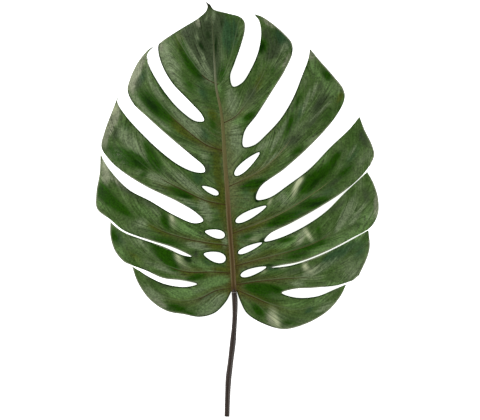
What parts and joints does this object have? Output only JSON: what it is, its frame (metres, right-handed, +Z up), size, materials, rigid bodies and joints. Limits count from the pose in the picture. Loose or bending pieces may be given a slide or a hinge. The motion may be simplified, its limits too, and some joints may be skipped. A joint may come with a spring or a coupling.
{
  "type": "monstera leaf",
  "caption": "Cut monstera leaf lying face up: a broad split and pierced green blade with a raised midrib, on a short brown stalk.",
  "frame": {"origin": "middle of the leaf's bounding box, on the surface that the leaf lies on", "axes": "+Y from the stalk's cut end towards the leaf's drip tip, +Z up out of the leaf's upper face, +X to the right seen from above"},
  "size_m": [0.34, 0.4992, 0.0226],
  "materials": {
    "blade": "semi-gloss dark green leaf skin, paler underneath, with olive and tan veins",
    "stalk": "matt dark brown, finely grooved lengthwise"
  },
  "bodies": {
    "root": {"leaf_blade": "blade", "stalk": "stalk"}
  },
  "joints": []
}
